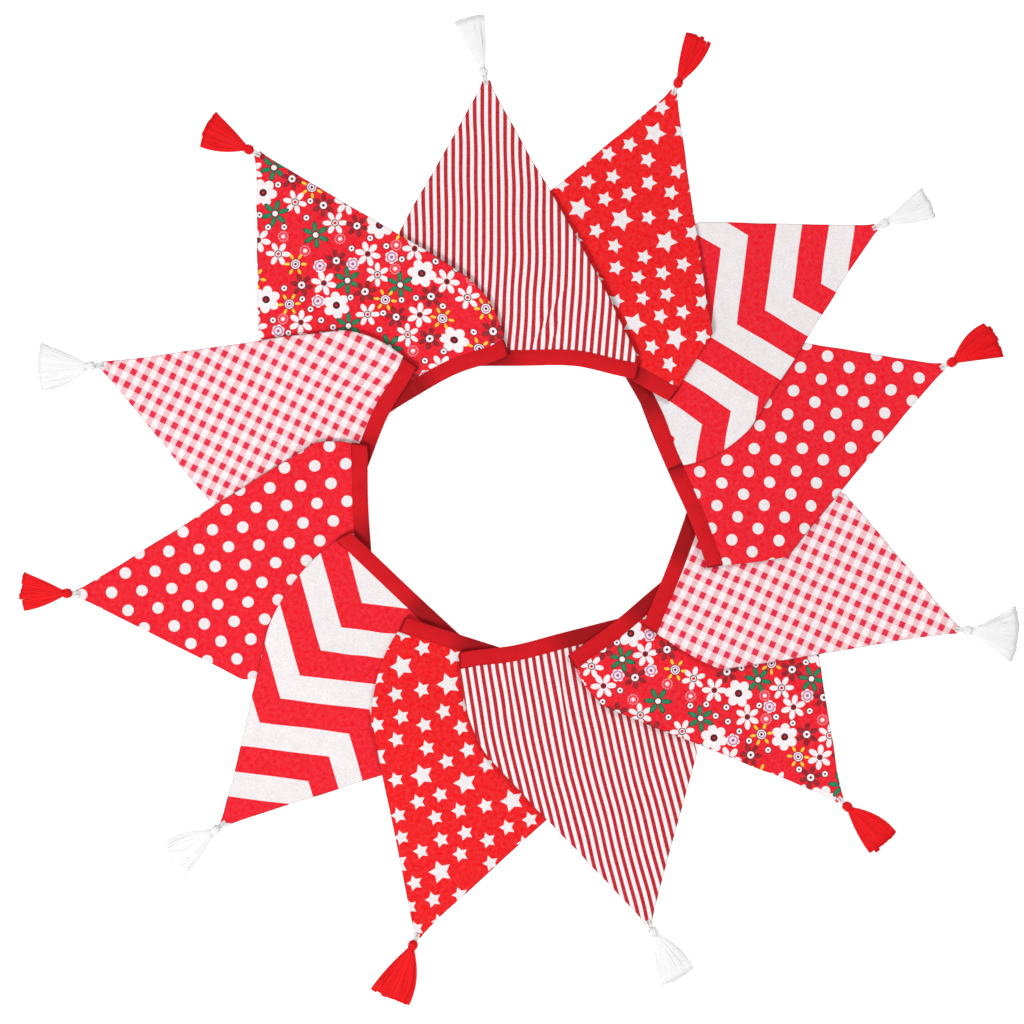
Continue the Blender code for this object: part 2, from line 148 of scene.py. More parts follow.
CLOTH_HALF = 0.45 * MM          # half the thickness of a pennant
EDGE_ROUND = 0.7 * MM           # how far in a sewn edge is rounded
EDGE_STEPS = np.array((0.0, 0.12, 0.4, 0.9)) * MM       # columns close to an edge
EDGE_ROOM = 2.2                 # least width of a strip with an edge, in widths of those columns
TIP_SHORT = 1.5 * MM            # the cloth's end, measured from the point of the triangle
TIP_HALF = 2.5 * MM             # half the width of that blunt end
SEAM_GAP = 0.1 * MM             # between the tape's edge and the cloth beside its inner part
TONGUE_FROM = 3.0 * MM          # the raw edge inside the tape
TONGUE_INSET = 2                # columns between a fold and the cloth inside the tape
TONGUE_ROWS = 4
ROW_STEP = 2.6 * MM
LAST_ROW = 1.0 * MM             # from the cloth's end to the last of the even rows
MIDDLE_COLUMNS, FLAP_COLUMNS, BEND_COLUMNS = 50, 10, 7
SAME_PLACE = 1e-7

RIPPLE = 0.5 * MM               # height of the low waves that all layers share
RIPPLE_COUNT, RIPPLE_SEED, RIPPLE_LENGTHS = 5, 3, (28 * MM, 70 * MM)
SWAY = 0.35 * MM                # how far the edges stray from straight
SWAY_FADE = 30 * MM             # from the tape, over which that begins
SWAY_SEEDS, SWAY_LENGTHS = (100, 150), (20 * MM, 60 * MM)
GATHER = 0.55 * MM              # height of the small pleats that the tape's seam draws in
GATHER_REACH = 70 * MM
GATHER_SEED, GATHER_LENGTHS = 20, (9 * MM, 24 * MM)
WAVE_COUNT = 3                  # for sway and gathers
SEAM_FADE = 12 * MM             # from the tape, over which gathers and creases rise

# ---------- finer sizes of the tape

TAPE_STEP = 3.0 * MM
TAPE_ARC_STEPS = 8
PLY = 0.35 * MM                 # thickness of the tape's cloth
RUN_HALF = 0.9 * MM             # half the height of the tape with a pennant in it
BACK_HALF = 0.4 * MM            # and of the folded tape alone
TAPER = 3.5 * MM                # length over which the tape thins towards a pleat
PLEAT_FLAT = 1.5 * MM           # length beside a pleat that is quite thin
PLEAT_TURN = 0.4 * TAPE_WIDTH   # length over which the tape's sections turn into a pleat
BACK_LIFT = 1.6 * MM            # from the next pennant's middle to the middle of the run back
PAINTED_SHADOW_FADE = 0.1                      # of a run, over which the painted shadow fades out where the tape comes out from under the length that lies on it
STITCH_LENGTH = 2.2 * MM
STITCH_PITCH = 3.0 * MM
STITCH_RADIUS = 0.2 * MM
STITCH_PLACE = 0.79             # across the tape, as a share of half its width
STITCH_GROOVE = 0.16            # depth of the groove that the stitches lie in, mm
STITCH_ARCH = (-0.22, 0.02, 0.1, 0.02, -0.22)       # heights along a stitch, mm
STITCH_FROM, STITCH_TO = 6 * MM, 3 * MM             # free of stitches at a run's ends

# Half of the tape's section: place across (1 is the cloth side) and height, as shares of half
# the width and of half the thickness, and a fixed part of the height in mm
TAPE_PROFILE = ((1.00, 1.0, -0.12), (0.975, 1.0, 0.0), (0.86, 1.04, 0.02),
                (STITCH_PLACE, 1.04, -STITCH_GROOVE), (0.72, 1.08, 0.02), (0.35, 1.25, 0.0),
                (-0.2, 1.3, 0.0), (-0.7, 1.12, 0.0), (-0.9, 0.86, 0.0), (-0.98, 0.5, 0.0))
TAPE_SLOT = (1.0, 0.3, -0.55)   # the slot that holds the cloth, across the tape
SLOT_END = -0.86

# ---------- finer sizes of the tassels; x is a tassel's own axis, from the pennant's tip

STEM_STEPS = 9
STEM_FROM, STEM_LENGTH = -1.2 * MM, 6.1 * MM
STEM_APART, STEM_BOW = 0.8 * MM, 0.2 * MM           # of each of its two threads from the axis
STEM_LOW, STEM_RISE, STEM_CURVE = 1.1 * MM, 1.3 * MM, 1.5
STEM_RADIUS = 0.85 * MM
KNOT_X, KNOT_Z = 7.3 * MM, 2.85 * MM
KNOT_LAYERS = (3.0 * MM, 2.1 * MM, 1.2 * MM)
KNOT_TURNS = 9                  # rings of thread in each layer
KNOT_FLAT = 0.7                 # height of the knot as a share of its width
KNOT_SPIN = 0.382 * math.pi     # from one ring to the next
KNOT_TILT = math.radians(22)    # the rings lean to either side by this, or stand upright
KNOT_THREAD = 0.72 * MM
RING_STEPS = 25
COIL_TURNS, COIL_STEPS, COIL_THREAD = 3.4, 60, 0.42 * MM
COIL_X, COIL_LENGTH = 9.9 * MM, 2.2 * MM
COIL_WIDE, COIL_HIGH = 2.1 * MM, 1.75 * MM
NECK_X, NECK_Z = 9.6 * MM, 2.3 * MM
NECK_WIDE, NECK_HIGH = 1.7 * MM, 1.5 * MM

STRANDS = 230
STRAND_SEED = 11
STRAND_RADIUS = 0.33 * MM
STRAND_TAPER = (1, 1, 1, 1, 1, 1, 1, 0.95, 0.8)     # of the radius, along a strand
STRAND_BOW = 0.6 * MM           # how far a strand may bow aside
CLUMPS = 7                      # bundles that the strands of a skirt lie in
RAGGED = {"red": 0.07, "white": 0.025}              # how much the bundles differ in length
CLUMP_STRAY = 4 * MM            # how far a bundle strays aside, for each unit of that
CUT_UNEVEN = 0.015              # how much the strands of one bundle differ in length
TOP_LAYER = 0.1                 # share of the skirt's height that every second strand lies in
CROWDED_UP = 0.4                # power that crowds the other strands towards the top
END_ROUND = 0.6                 # how round the skirt's end is: 1 where all strands end in one arc
END_SIDES, END_MIDDLE = 0.8 * MM, 1.5 * MM          # height of that end, and the middle's extra
HUMP, HUMP_LOWEST, HUMP_ENDS = 0.9 * MM, 0.4, 0.8   # of the skirt between its neck and its end
SETTLE = 1.3                    # how soon a strand comes down to the height of its end


def named_rows(columns, table):
    """Each row of a table as a dictionary."""
    return [dict(zip(columns, row)) for row in table]


def smooth_share(value):
    """Eases a share in and out."""
    value = np.clip(value, 0, 1)
    return value * value * (3 - 2 * value)


class Pennant:
    """One row of the table, with the frame of its base.  Takes and gives numpy arrays."""

    def __init__(self, index, row):
        self.index = index
        self.name = row["name"]
        self.print = self.name.split("_")[0]
        aim = math.radians(row["aim"])
        self.drop = row["drop"] * MM
        self.v_axis = np.array((math.cos(aim), math.sin(aim)))
        self.u_axis = np.array((math.sin(aim), -math.cos(aim)))
        self.base = np.array((row["tip_x"], row["tip_y"])) * MM - self.drop * self.v_axis
        self.front = row["front"] * MM
        self.back = row["back"] * MM
        self.lean = row["lean"]
        self.bulge = row["bulge"] * MM
        self.hem = np.array(row["hem"]) * MM

    def hem_shift(self, u, v):
        """How far the base's bowing moves a point; it fades out towards the pennant's tip."""
        last = len(self.hem) - 1
        at = np.clip((u + self.back) / (self.front + self.back), 0, 1) * last
        k = np.minimum(at.astype(int), last - 1)
        before, low, high, after = (self.hem[np.clip(k + n, 0, last)] for n in (-1, 0, 1, 2))
        t = at - k
        first, second = (high - before) / 2, (after - low) / 2
        stray = (low + t * first + t * t * (3 * (high - low) - 2 * first - second)
                 + t ** 3 * (2 * (low - high) + first + second))
        return stray * np.clip(1 - (v - TAPE_WIDTH) / (HEM_FADE * self.drop), 0, 1)

    def place(self, u, v):
        """A point of the base's frame, in the ring's plane."""
        u, v = np.broadcast_arrays(np.asarray(u, float), np.asarray(v, float))
        v = v + self.hem_shift(u, v)
        return self.base + u[..., None] * self.u_axis + v[..., None] * self.v_axis

    def half_width(self, v):
        return np.hypot((self.drop - v) * math.tan(APEX_HALF_ANGLE), TIP_HALF)

    def fold_shift(self, v):
        """How far the clockwise fold stands off its straight line at v."""
        end = (self.half_width(0) - self.front) / (math.tan(APEX_HALF_ANGLE) + self.lean)
        share = np.clip(v / end, 0, 1)
        return self.lean * share * end + 4 * self.bulge * share * (1 - share)

    def straight_edge(self, v):
        """The clockwise edge, in the frame where the clockwise fold is straight."""
        edge = self.half_width(v)
        shift = self.fold_shift(v)
        return edge - shift if edge >= self.front + shift else edge / (1 + shift / self.front)

    def run_end(self):
        """Where the tape's run over the pennant ends, along the base."""
        return self.front + self.fold_shift(TAPE_WIDTH / 2)


def waves(place, count, seed, lengths):
    """A smooth field between -1 and 1: a sum of sine waves in all directions."""
    rng = random.Random(seed)
    total = np.zeros(place.shape[:-1])
    for _ in range(count):
        way = rng.uniform(0, math.tau)
        number = math.tau / rng.uniform(*lengths)
        across = place[..., 0] * math.cos(way) + place[..., 1] * math.sin(way)
        total += np.sin(across * number + rng.uniform(0, math.tau))
    return total / count


def fan_height(index, place):
    """Height of the middle of pennant `index` over points of the ring's plane."""
    radius = np.hypot(place[..., 0], place[..., 1])
    turn = np.arctan2(place[..., 0], place[..., 1]) - (PHASE_START + index * PHASE_STEP)
    turn = (turn + math.pi) % math.tau - math.pi
    share = np.clip((FAN_OUTER - radius) / (FAN_OUTER - FAN_INNER), 0, 1 + FAN_SOFTEN)
    share = share - np.maximum(share - (1 - FAN_SOFTEN), 0) ** 2 / (4 * FAN_SOFTEN)
    ripple = RIPPLE * (1 + waves(place, RIPPLE_COUNT, RIPPLE_SEED, RIPPLE_LENGTHS)) / 2
    return LAYER_BASE + FAN_RISE * share * turn + BED_RISE * share ** BED_CURVE + ripple


# ---------- meshes

def add_object(name, data):
    """A new object in the scene."""
    item = bpy.data.objects.new(name, data)
    bpy.context.scene.collection.objects.link(item)
    return item


def add_piece(name, vertices, faces, material):
    """A smooth mesh piece in the frame; its vertices are given about the middle of the ring."""
    vertices = np.asarray(vertices, float)
    vertices[:, :2] += SLIDE
    mesh = bpy.data.meshes.new(name)
    mesh.from_pydata(vertices.tolist(), [], faces)
    mesh.materials.append(material)
    mesh.shade_smooth()
    piece = add_object(name, mesh)
    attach(piece, "root")
    return piece


def set_map(piece, name, values):
    """A map of two numbers for each vertex, which the material reads."""
    layer = piece.data.uv_layers.new(name=name, do_init=False)
    corners = np.empty(len(piece.data.loops), int)
    piece.data.loops.foreach_get("vertex_index", corners)
    layer.uv.foreach_set("vector", np.asarray(values, np.float32)[corners].ravel())


def face_outward(piece):
    """Turns the faces of a closed mesh so that they all look out."""
    bm = bmesh.new()
    bm.from_mesh(piece.data)
    bmesh.ops.recalc_face_normals(bm, faces=bm.faces)
    bm.to_mesh(piece.data)
    bm.free()


def join_tubes(name, tubes, material, sides=5):
    """One mesh of round threads.  A tube is its points, its radius at each and a shade."""
    vertices, faces, marks = [], [], []
    for points, radii, shade in tubes:
        base, last = len(vertices), len(points) - 1
        ways = np.gradient(points, axis=0)
        ways /= np.linalg.norm(ways, axis=1)[:, None]
        side = np.cross(ways[0], (0.0, 0.0, 1.0))
        for k, way in enumerate(ways):
            side = side - (side @ way) * way
            side /= math.sqrt(side @ side)
            up = np.cross(side, way)
            for n in range(sides):
                angle = math.tau * n / sides + math.pi / 2
                vertices.append(points[k] + radii[k] * (side * math.cos(angle)
                                                        + up * math.sin(angle)))
                marks.append((shade, k / last))
        for k in range(last):
            for n in range(sides):
                a, b = base + k * sides + n, base + k * sides + (n + 1) % sides
                faces.append((a, b, b + sides, a + sides))
        faces.append(tuple(base + n for n in reversed(range(sides))))
        faces.append(tuple(base + last * sides + n for n in range(sides)))
    piece = add_piece(name, vertices, faces, material)
    set_map(piece, "Floss", marks)
    return piece


# ---------- pennants

def spaced(low, high, count, low_edge, high_edge):
    """Columns from low to high, closer together at the ends that are edges."""
    steps = EDGE_STEPS * min(1.0, (high - low) / (EDGE_ROOM * EDGE_STEPS[-1]))
    start = low + steps if low_edge else np.array([low])
    end = (high - steps)[::-1] if high_edge else np.array([high])
    inner = np.linspace(start[-1], end[0], count + 2)[1:-1]
    return np.concatenate([start, inner, end])


def row_columns(pennant, v):
    """Where the columns of one row lie on the flat cloth, from the anticlockwise edge on."""
    bend = math.pi * FOLD_RADIUS
    left, right = -pennant.half_width(v), pennant.straight_edge(v)
    back, front = max(left, -pennant.back), min(right, pennant.front)
    back_bend = max(left, -pennant.back - bend)
    front_bend = min(right, pennant.front + bend)
    parts = [spaced(left, back_bend, FLAP_COLUMNS, True, False),
             np.linspace(back_bend, back, BEND_COLUMNS + 1),
             spaced(back, front, MIDDLE_COLUMNS, True, True),
             np.linspace(front, front_bend, BEND_COLUMNS + 1),
             spaced(front_bend, right, FLAP_COLUMNS, False, True)]
    return np.concatenate(parts[:1] + [part[1:] for part in parts[1:]])


def grid_faces(numbers):
    """Faces between rows of points.  None leaves a hole, and a point may stand for several."""
    faces = []
    for lower, upper in zip(numbers, numbers[1:]):
        for k in range(len(lower) - 1):
            ring = (lower[k], lower[k + 1], upper[k + 1], upper[k])
            if None in ring:
                continue
            face = [n for n, following in zip(ring, ring[1:] + ring[:1]) if n != following]
            if len(set(face)) > 2:
                faces.append(face)
    return faces


def cloth_grid(pennant):
    """The flat cloth's points (u, v) and its faces; columns that fall together share a point."""
    start, end = TAPE_WIDTH + SEAM_GAP, pennant.drop - TIP_SHORT
    rows = list(np.linspace(TONGUE_FROM, start, TONGUE_ROWS + 1)) + [start + EDGE_ROUND / 2]
    even = round((end - start) / ROW_STEP) - 1
    rows += list(np.linspace(start + ROW_STEP, end - LAST_ROW, even))
    rows += [end - step for step in EDGE_STEPS[-2::-1]]
    first = len(spaced(0, 1, FLAP_COLUMNS, True, False)) + BEND_COLUMNS + len(EDGE_STEPS)
    first += TONGUE_INSET - 1
    last = first + MIDDLE_COLUMNS - 2 * TONGUE_INSET
    points, numbers = [], []
    for v in rows:
        line = []
        for k, u in enumerate(row_columns(pennant, max(v, start))):
            if v < start and not first <= k <= last:
                line.append(None)
            elif line and line[-1] is not None and u - points[line[-1]][0] < SAME_PLACE:
                line.append(line[-1])
            else:
                line.append(len(points))
                points.append((u, v))
        numbers.append(line)
    return np.array(points), grid_faces(numbers)


def rim_of(faces):
    """The points on the open edge of a sheet."""
    seen = {}
    for face in faces:
        for a, b in zip(face, face[1:] + face[:1]):
            key = (min(a, b), max(a, b))
            seen[key] = seen.get(key, 0) + 1
    return {point for key, count in seen.items() if count == 1 for point in key}


def creased(name, u, v):
    """Height of one pennant's soft ridges and valleys, and how they draw the cloth in (u, v)."""
    height = np.zeros_like(u)
    drawn = np.zeros(u.shape + (2,))
    for row in named_rows(CREASE_COLUMNS, CREASES):
        if row["name"] != name:
            continue
        start = np.array((row["from_u"], row["from_v"])) * MM
        way = np.array((row["to_u"], row["to_v"])) * MM - start
        length = np.hypot(*way)
        way /= length
        across = np.array((way[1], -way[0]))
        along = ((u - start[0]) * way[0] + (v - start[1]) * way[1]) / length
        aside = ((u - start[0]) * across[0] + (v - start[1]) * across[1]) / (row["half"] * MM)
        share = np.sin(np.clip(along, 0, 1) * math.pi) ** CREASE_ENDS * np.exp(-aside * aside)
        height += row["height"] * MM * share
        drawn -= (PINCH * abs(row["height"]) * MM * share * aside)[..., None] * across
    return height, drawn


def lay_cloth(pennant, u, v, lift):
    """Folds the flat cloth's points, lifted off its middle, and lays them in the ring."""
    past_front, past_back = u - pennant.front, -pennant.back - u
    past = np.maximum(past_front, past_back)
    angle = np.clip(past / FOLD_RADIUS, 0, math.pi)
    out = FOLD_RADIUS * np.sin(angle) - np.maximum(past - math.pi * FOLD_RADIUS, 0)
    side = np.where(past_front > 0, 1.0, np.where(past_back > 0, -1.0, 0.0))
    flat = np.clip(u, -pennant.back, pennant.front)
    follow = pennant.fold_shift(v) * np.maximum(flat / pennant.front, 0)
    ridge, drawn = creased(pennant.name, flat, v)
    place = pennant.place(flat + side * (out + lift * np.sin(angle)) + follow + drawn[..., 0],
                          v + drawn[..., 1])
    sway = np.stack([waves(place, WAVE_COUNT, seed + pennant.index, SWAY_LENGTHS)
                     for seed in SWAY_SEEDS], -1)
    place = place + SWAY * sway * np.clip((v - TAPE_WIDTH) / SWAY_FADE, 0, 1)[..., None]
    gathers = waves(np.stack([u, np.zeros_like(u)], -1), WAVE_COUNT,
                    GATHER_SEED + pennant.index, GATHER_LENGTHS)
    relief = GATHER * gathers * np.clip(1 - v / GATHER_REACH, 0, 1) ** 2 + ridge
    height = fan_height(pennant.index, place) + FOLD_RADIUS * (np.cos(angle) - 1)
    height = height + lift * np.cos(angle) + relief * np.clip((v - TAPE_WIDTH) / SEAM_FADE, 0, 1)
    return np.concatenate([place, height[..., None]], -1), u + follow


def edge_lift(pennant, u, v):
    """Half the cloth's thickness, rounded off towards its sewn edges."""
    right = np.array([pennant.straight_edge(x) for x in v])
    inside = np.minimum(u + pennant.half_width(v), right - u) * math.cos(APEX_HALF_ANGLE)
    inside = np.minimum(inside, pennant.drop - TIP_SHORT - v)
    share = np.clip(inside / EDGE_ROUND, 0, 1)
    return CLOTH_HALF * np.sqrt(1 - (1 - share) ** 2)


def make_pennant(pennant, cut, material):
    """The cloth of one pennant: two faces that meet at a rounded, sewn edge."""
    points, faces = cloth_grid(pennant)
    u, v = points[:, 0], points[:, 1]
    rim = rim_of(faces)
    lift = edge_lift(pennant, u, v)
    lift[list(rim)] = 0
    top, print_u = lay_cloth(pennant, u, v, lift)
    under, _ = lay_cloth(pennant, u, v, -lift)
    inner = [k for k in range(len(points)) if k not in rim]
    number = {k: len(points) + n for n, k in enumerate(inner)}
    below = [[number.get(k, k) for k in reversed(face)] for face in faces]
    piece = add_piece("pennant_%s_cloth" % pennant.name, np.concatenate([top, under[inner]]),
                      faces + below, material)
    turn = math.radians(cut["turn"])
    flat = np.stack([print_u * math.cos(turn) + v * math.sin(turn) + cut["start_u"] * MM,
                     v * math.cos(turn) - print_u * math.sin(turn) + cut["start_v"] * MM], -1)
    edge = np.stack([np.minimum(u + pennant.half_width(v), pennant.half_width(v) - print_u), v], -1)
    for name, values in (("Cloth", flat), ("Seam", edge)):
        set_map(piece, name, np.concatenate([values, values[inner]]))
    face_outward(piece)
    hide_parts("pennant_" + pennant.name)
    width = 2 * pennant.half_width(0)
    width * pennant.drop / 2
    "pennant_" + PENNANTS[(pennant.index + 1) % len(PENNANTS)][0]


# ---------- binding tape

def tape_outline(half):
    """The closed outline of the folded tape: its outside, then the slot that holds the cloth."""
    top = [(a, half * share + fixed * MM) for a, share, fixed in TAPE_PROFILE]
    inner = [(a, half - PLY) for a in TAPE_SLOT]
    return (top + [(-1.0, 0.0)] + [(a, -n) for a, n in reversed(top)]
            + [(a, -n) for a, n in inner] + [(SLOT_END, 0.0)] + inner[::-1])


def tape_section(centre, across, normal, heights, half):
    """The outline placed at one point of the tape's way.  heights are at its two edges."""
    ring = []
    for a, n in tape_outline(half):
        place = centre + a * across + n * normal[0]
        share = (a + 1) / 2
        ring.append((place[0], place[1], heights[0] * (1 - share) + heights[1] * share
                     + n * normal[1]))
    return ring


def unit(vector):
    return vector / np.hypot(*vector)


def square_to(way, like):
    """The direction square to a way, on the side of another direction."""
    square = np.array((-way[1], way[0]))
    return square if square @ like > 0 else -square


def pleat_across(way_in, way_out, like):
    """Half the tape's width along the line about which it turns from one run to the next."""
    outward = unit(way_in - way_out)
    line = square_to(outward, like)
    slant = abs(line[0] * way_in[1] - line[1] * way_in[0])
    return line * TAPE_WIDTH / 2 / slant, outward


def over_pennant(index, lift=0.0):
    """A function that gives the heights of the tape's two edges over one pennant."""
    def heights(centre, across):
        return [float(fan_height(index, centre + end * across)) + lift for end in (-1, 1)]
    return heights


def tape_run(points, first_across, last_across, like, heights_at, face, half_at):
    """Sections along the points of one run; the first and last are turned into the pleats."""
    sections = []
    steps = np.hypot(*np.diff(points, axis=0).T)
    along = np.concatenate([[0], np.cumsum(steps)])
    for k, centre in enumerate(points):
        way = unit(points[min(k + 1, len(points) - 1)] - points[max(k - 1, 0)])
        across = square_to(way, like) * TAPE_WIDTH / 2
        for end_across, distance in ((first_across, along[k]),
                                     (last_across, along[-1] - along[k])):
            share = max(1 - distance / PLEAT_TURN, 0)
            across = across * (1 - share) + end_across * share
        sections.append(tape_section(centre, across, (np.zeros(2), face),
                                     heights_at(centre, across), half_at(along[k], along[-1])))
    return sections


def tape_pleat(centre, across, outward, upper, lower, face):
    """Sections round a pleat, from the upper run to the lower one, without its two ends."""
    tops, bottoms = upper(centre, across), lower(centre, across)
    radius = abs(sum(tops) - sum(bottoms)) / 4
    sections = []
    for k in range(1, TAPE_ARC_STEPS):
        angle = math.pi * k / TAPE_ARC_STEPS
        heights = [(top + bottom) / 2 + (top - bottom) / 2 * math.cos(angle)
                   for top, bottom in zip(tops, bottoms)]
        place = centre + outward * radius * math.sin(angle)
        normal = (outward * math.sin(angle) * face, math.cos(angle) * face)
        sections.append(tape_section(place, across, normal, heights, BACK_HALF))
    return sections


def run_half(distance, length):
    """Half the thickness along a run over a pennant: thin at both pleats, full between."""
    share = smooth_share((min(distance, length - distance) - PLEAT_FLAT) / TAPER)
    return BACK_HALF + (RUN_HALF - BACK_HALF) * share


def even_shares(start, end):
    """Shares of the way from start to end, about a tape step apart."""
    return np.linspace(0, 1, max(round(np.hypot(*(end - start)) / TAPE_STEP), 2) + 1)


def run_points(pennant):
    """The middle of the tape's run over a pennant."""
    first, last, middle = -pennant.back, pennant.run_end(), TAPE_WIDTH / 2
    shares = even_shares(pennant.place(first, middle), pennant.place(last, middle))
    return pennant.place(first + (last - first) * shares, middle)


def tape_sections(pennants):
    """The tape's sections all the way round, the painted shadow on each, and the way's length."""
    count = len(pennants)
    runs = [run_points(pennant) for pennant in pennants]
    starts = [run[0] for run in runs]
    back_ways = [unit(starts[(i + 1) % count] - run[-1]) for i, run in enumerate(runs)]
    firsts = [pleat_across(back_ways[i - 1], unit(run[1] - run[0]), pennants[i].v_axis)
              for i, run in enumerate(runs)]
    lasts = [pleat_across(unit(run[-1] - run[-2]), back_ways[i], pennants[i].v_axis)
             for i, run in enumerate(runs)]
    sections, painted_shadow, length = [], [], 0
    for i, pennant in enumerate(pennants):
        after = (i + 1) % count
        here, above_next, on_next = over_pennant(i), over_pennant(after, BACK_LIFT), over_pennant(after)
        run, start, end = runs[i], runs[i][-1], starts[after]
        back = start + (end - start) * even_shares(start, end)[:, None]
        across, outward = lasts[i]
        next_across, next_outward = firsts[after]
        sections += tape_run(run, firsts[i][0], across, pennant.v_axis, here, 1, run_half)
        # Painted shadow: full on the part of the run under the length before it, fading out just after
        # that length ends
        out_at = (runs[i - 1][-1] - pennant.base) @ pennant.u_axis + pennant.back
        out_at /= pennant.back + pennant.run_end()
        shares = np.linspace(0, 1, len(sections) - len(painted_shadow))
        painted_shadow += list(np.interp(shares, (out_at, out_at + PAINTED_SHADOW_FADE), (1.0, 0.0)))
        sections += tape_pleat(start, across, outward, here, above_next, 1)
        sections += tape_run(back, across, next_across, pennant.v_axis, above_next, -1,
                             lambda distance, whole: BACK_HALF)
        sections += tape_pleat(end, next_across, next_outward, above_next, on_next, -1)
        # the pleats and the run back get the full painted shadow
        painted_shadow += [1.0] * (len(sections) - len(painted_shadow))
        length += sum(np.hypot(*np.diff(way, axis=0).T).sum() for way in (run, back))
    return sections, painted_shadow, float(length)


def stitch_line(pennant):
    """The stitches that show on one run, each a short thread that dives in at both ends."""
    start, end = -pennant.back + STITCH_FROM, pennant.run_end() - STITCH_TO
    v = TAPE_WIDTH / 2 * (1 + STITCH_PLACE)
    steps = len(STITCH_ARCH)
    tubes = []
    for k in range(int((end - start) / STITCH_PITCH)):
        centre = start + (k + 0.5) * STITCH_PITCH
        place = pennant.place(centre + np.linspace(-0.5, 0.5, steps) * STITCH_LENGTH, v)
        height = fan_height(pennant.index, place) + (np.array(STITCH_ARCH) - STITCH_GROOVE) * MM
        height += run_half(centre + pennant.back, pennant.run_end() + pennant.back)
        tubes.append((np.concatenate([place, height[:, None]], -1),
                      np.full(steps, STITCH_RADIUS), 0.5))
    return tubes


def make_tape(pennants, material, thread):
    """The whole tape, and the stitches that hold it on the pennants."""
    sections, painted_shadow, length = tape_sections(pennants)
    count, size = len(sections), len(sections[0])
    faces = []
    for n, k in itertools.product(range(count), range(size)):
        here, following = n * size, (n + 1) % count * size
        after = (k + 1) % size
        faces.append((here + k, here + after, following + after, following + k))
    tape = add_piece("binding_tape_cloth", [p for ring in sections for p in ring], faces, material)
    along = np.repeat(np.arange(count) * TAPE_STEP, size)
    across = np.tile([a * TAPE_WIDTH / 2 for a, _ in tape_outline(RUN_HALF)], count)
    # under: the painted shadow's share at each point, which the tape's material reads to paint it
    # darker
    under = np.repeat(painted_shadow, size) * MM
    set_map(tape, "Cloth", np.stack([along, across], -1))
    set_map(tape, "Under", np.stack([under, under], -1))
    face_outward(tape)
    stitches = [tube for pennant in pennants for tube in stitch_line(pennant)]
    threads = join_tubes("binding_tape_stitches", stitches, thread)
    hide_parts("binding_tape")


# ---------- tassels

def stem_tubes():
    """The two threads that tie a tassel to the pennant's tip."""
    t = np.linspace(0, 1, STEM_STEPS)
    x = STEM_FROM + t * STEM_LENGTH
    y = STEM_APART + STEM_BOW * np.sin(t * math.pi)
    z = STEM_LOW + STEM_RISE * t ** STEM_CURVE
    return [(np.stack([x, side * y, z], -1), np.full(STEM_STEPS, STEM_RADIUS), 0.5 + 0.2 * side)
            for side in (-1, 1)]


def knot_tubes(rng):
    """The knot: rings of thread in three layers about one middle."""
    t = np.linspace(0, math.tau, RING_STEPS)[:, None]
    tubes = []
    for radius, k in itertools.product(KNOT_LAYERS, range(KNOT_TURNS)):
        spin, tilt = k * KNOT_SPIN, (k % 3 - 1) * KNOT_TILT
        level = np.array((math.cos(spin), math.sin(spin), 0.0))
        steep = np.array((-math.sin(spin) * math.sin(tilt), math.cos(spin) * math.sin(tilt),
                          math.cos(tilt)))
        ring = radius * (np.cos(t) * level + np.sin(t) * steep) * (1, 1, KNOT_FLAT)
        tubes.append((ring + (KNOT_X, 0.0, KNOT_Z), np.full(RING_STEPS, KNOT_THREAD),
                      rng.uniform(0.2, 0.8)))
    return tubes


def coil_tube():
    """The thread that binds the neck."""
    t = np.linspace(0, COIL_TURNS * math.tau, COIL_STEPS)
    coil = np.stack([COIL_X + t / t[-1] * COIL_LENGTH, np.cos(t) * COIL_WIDE,
                     NECK_Z + np.sin(t) * COIL_HIGH], -1)
    return coil, np.full(COIL_STEPS, COIL_THREAD), 0.35


def skirt_tubes(row, ragged, rng):
    """The strands of the skirt, which fan out from the neck and come down to the floor."""
    clumps = [(rng.uniform(1 - ragged, 1.0), rng.uniform(-CLUMP_STRAY, CLUMP_STRAY) * ragged)
              for _ in range(CLUMPS)]
    half = row["spread"] * MM / 2 - STRAND_RADIUS
    t = np.linspace(0, 1, len(STRAND_TAPER))
    arch, down = np.sin(t * math.pi), smooth_share(t * SETTLE)
    radii = STRAND_RADIUS * np.array(STRAND_TAPER)
    tubes = []
    for n in range(STRANDS):
        share = (n + rng.random()) / STRANDS * 2 - 1
        level = 1 - TOP_LAYER * rng.random() if n % 2 else rng.random() ** CROWDED_UP
        swell = math.sqrt(max(1 - share * share, 0))
        reach, stray = clumps[min(int((share + 1) / 2 * CLUMPS), CLUMPS - 1)]
        cut = (row["length"] * MM - NECK_X) * reach * rng.uniform(1 - CUT_UNEVEN, 1.0)
        end_y = share * half + stray
        cut -= END_ROUND * (cut - math.sqrt(cut * cut - end_y * end_y))
        flare = t + 2 * row["left" if share > 0 else "right"] * t * (1 - t)
        y = NECK_WIDE * share * (1 - flare) + end_y * flare
        y += rng.uniform(-STRAND_BOW, STRAND_BOW) * arch
        start_z = NECK_Z + NECK_HIGH * (level * 2 - 1) * swell
        end_z = STRAND_RADIUS + level * (END_SIDES + END_MIDDLE * swell)
        hump = HUMP * swell * (HUMP_LOWEST + (1 - HUMP_LOWEST) * level) * arch ** HUMP_ENDS
        z = np.maximum(start_z * (1 - down) + end_z * down + hump, STRAND_RADIUS)
        tubes.append((np.stack([NECK_X + t * cut, y, z], -1), radii, rng.random()))
    return tubes


